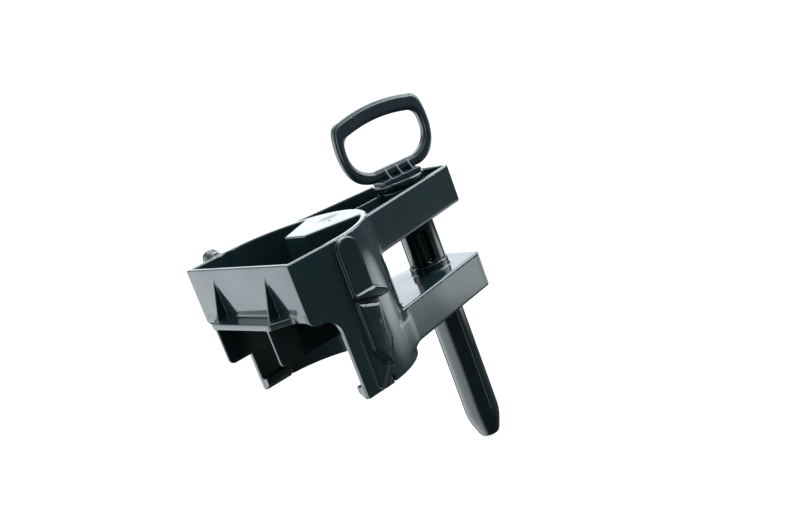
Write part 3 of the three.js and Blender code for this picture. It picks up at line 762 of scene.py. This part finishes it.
def studio_glow(tree, direction):
    """How bright the studio is in each direction: its softboxes, and little between them."""
    nodes, links = tree.nodes, tree.links
    total = None
    for azimuth, elevation, edge, full, brightness in SOFTBOXES:
        azimuth, elevation = math.radians(azimuth), math.radians(elevation)
        flat = math.cos(elevation)
        dot = nodes.new("ShaderNodeVectorMath")
        dot.operation = "DOT_PRODUCT"
        dot.inputs[1].default_value = (
            flat * math.cos(azimuth),
            flat * math.sin(azimuth),
            math.sin(elevation),
        )
        links.new(direction, dot.inputs[0])
        ramp = nodes.new("ShaderNodeMapRange")
        ramp.interpolation_type = "SMOOTHSTEP"
        ramp.inputs["From Min"].default_value = math.cos(math.radians(edge))
        ramp.inputs["From Max"].default_value = math.cos(math.radians(full))
        ramp.inputs["To Max"].default_value = brightness
        links.new(dot.outputs["Value"], ramp.inputs["Value"])
        add = nodes.new("ShaderNodeMath")
        add.inputs[1].default_value = GLOW_BETWEEN
        if total:
            links.new(total, add.inputs[1])
        links.new(ramp.outputs["Result"], add.inputs[0])
        total = add.outputs[0]
    return total


def camera_switch(tree, seen, glow, output):
    """What the camera sees directly, and what the object is lit by."""
    nodes, links = tree.nodes, tree.links
    path = nodes.new("ShaderNodeLightPath")
    mix = nodes.new("ShaderNodeMixShader")
    links.new(path.outputs["Is Camera Ray"], mix.inputs[0])
    links.new(glow, mix.inputs[1])
    links.new(seen, mix.inputs[2])
    links.new(mix.outputs[0], output)


def make_world():
    world = bpy.data.worlds.new("studio")
    bpy.context.scene.world = world
    world.use_nodes = True
    tree = world.node_tree
    tree.nodes.clear()
    coords = tree.nodes.new("ShaderNodeTexCoord")
    glow = tree.nodes.new("ShaderNodeBackground")
    glow.inputs["Color"].default_value = GLOW_COLOUR
    tree.links.new(studio_glow(tree, coords.outputs["Generated"]), glow.inputs["Strength"])
    seen = tree.nodes.new("ShaderNodeBackground")
    seen.inputs["Color"].default_value = (1, 1, 1, 1)
    output = tree.nodes.new("ShaderNodeOutputWorld")
    camera_switch(tree, seen.outputs[0], glow.outputs[0], output.inputs["Surface"])


def make_floor():
    """A pale floor, lit from below like a light table, with a bright card beside the object."""
    mesh = bpy.data.meshes.new("floor")
    bm = bmesh.new()
    bmesh.ops.create_circle(bm, cap_ends=True, segments=96, radius=FLOOR_RADIUS)
    bm.to_mesh(mesh)
    bm.free()
    floor = bpy.data.objects.new("floor", mesh)
    floor.location.z = cad_box[0][2] - FLOOR_GAP
    bpy.context.scene.collection.objects.link(floor)
    material = bpy.data.materials.new("pale_floor")
    material.use_nodes = True
    tree = material.node_tree
    tree.nodes.clear()
    nodes, links = tree.nodes, tree.links
    paint = nodes.new("ShaderNodeBsdfDiffuse")
    paint.inputs["Color"].default_value = (0.95, 0.95, 0.95, 1)
    lit = nodes.new("ShaderNodeEmission")
    seen = nodes.new("ShaderNodeMixShader")
    seen.inputs[0].default_value = FLOOR_SHADOW
    links.new(lit.outputs[0], seen.inputs[1])
    links.new(paint.outputs[0], seen.inputs[2])
    geometry = nodes.new("ShaderNodeNewGeometry")
    distance = nodes.new("ShaderNodeVectorMath")
    distance.operation = "DISTANCE"
    distance.inputs[1].default_value = (*CARD_AT, floor.location.z)
    links.new(geometry.outputs["Position"], distance.inputs[0])
    ramp = nodes.new("ShaderNodeMapRange")
    ramp.interpolation_type = "SMOOTHSTEP"
    ramp.inputs["From Min"].default_value = CARD_EDGE
    ramp.inputs["From Max"].default_value = CARD_FULL
    ramp.inputs["To Max"].default_value = CARD_GLOW
    links.new(distance.outputs["Value"], ramp.inputs["Value"])
    card = nodes.new("ShaderNodeEmission")
    card.inputs["Color"].default_value = GLOW_COLOUR
    links.new(ramp.outputs["Result"], card.inputs["Strength"])
    clear = nodes.new("ShaderNodeBsdfTransparent")
    unseen = nodes.new("ShaderNodeAddShader")
    links.new(card.outputs[0], unseen.inputs[0])
    links.new(clear.outputs[0], unseen.inputs[1])
    output = nodes.new("ShaderNodeOutputMaterial")
    camera_switch(tree, seen.outputs[0], unseen.outputs[0], output.inputs["Surface"])
    mesh.materials.append(material)


def area_light(name, energy, width, height, location, target):
    """A rectangular lamp that faces its target."""
    data = bpy.data.lights.new(name, "AREA")
    data.energy, data.shape, data.size, data.size_y = energy, "RECTANGLE", width, height
    light = bpy.data.objects.new(name, data)
    light.location = location
    aim = Vector(target) - Vector(location)
    light.rotation_euler = aim.to_track_quat("-Z", "Y").to_euler()
    bpy.context.scene.collection.objects.link(light)


def make_camera():
    """A camera that looks along +Y and down, turned about the upright and rolled."""
    level = math.cos(CAMERA_TILT)
    forward = Vector(
        (-math.sin(CAMERA_TURN) * level, math.cos(CAMERA_TURN) * level, -math.sin(CAMERA_TILT))
    )
    right = forward.cross(Vector((0, 0, 1))).normalized()
    up = right.cross(forward)
    rolled_right = math.cos(CAMERA_ROLL) * right - math.sin(CAMERA_ROLL) * up
    rolled_up = math.sin(CAMERA_ROLL) * right + math.cos(CAMERA_ROLL) * up
    data = bpy.data.cameras.new("camera")
    data.sensor_width, data.lens = SENSOR, LENS
    data.clip_start, data.clip_end = 0.01, 20.0
    camera = bpy.data.objects.new("camera", data)
    turn = Matrix((rolled_right, rolled_up, -forward)).transposed().to_4x4()
    camera.matrix_world = Matrix.Translation(CAMERA_AT) @ turn
    bpy.context.scene.collection.objects.link(camera)
    bpy.context.scene.camera = camera


make_world()
make_floor()
area_light("top_softbox", 6.0, 0.7, 0.7, (0.1, 0.35, 0.8), (0.03, 0, 0))
area_light("front_strip", 0.035, 0.03, 0.2, (0.317, -0.446, -0.24), (0.073, 0, -0.05))
make_camera()
bpy.context.scene.view_settings.view_transform = "Standard"
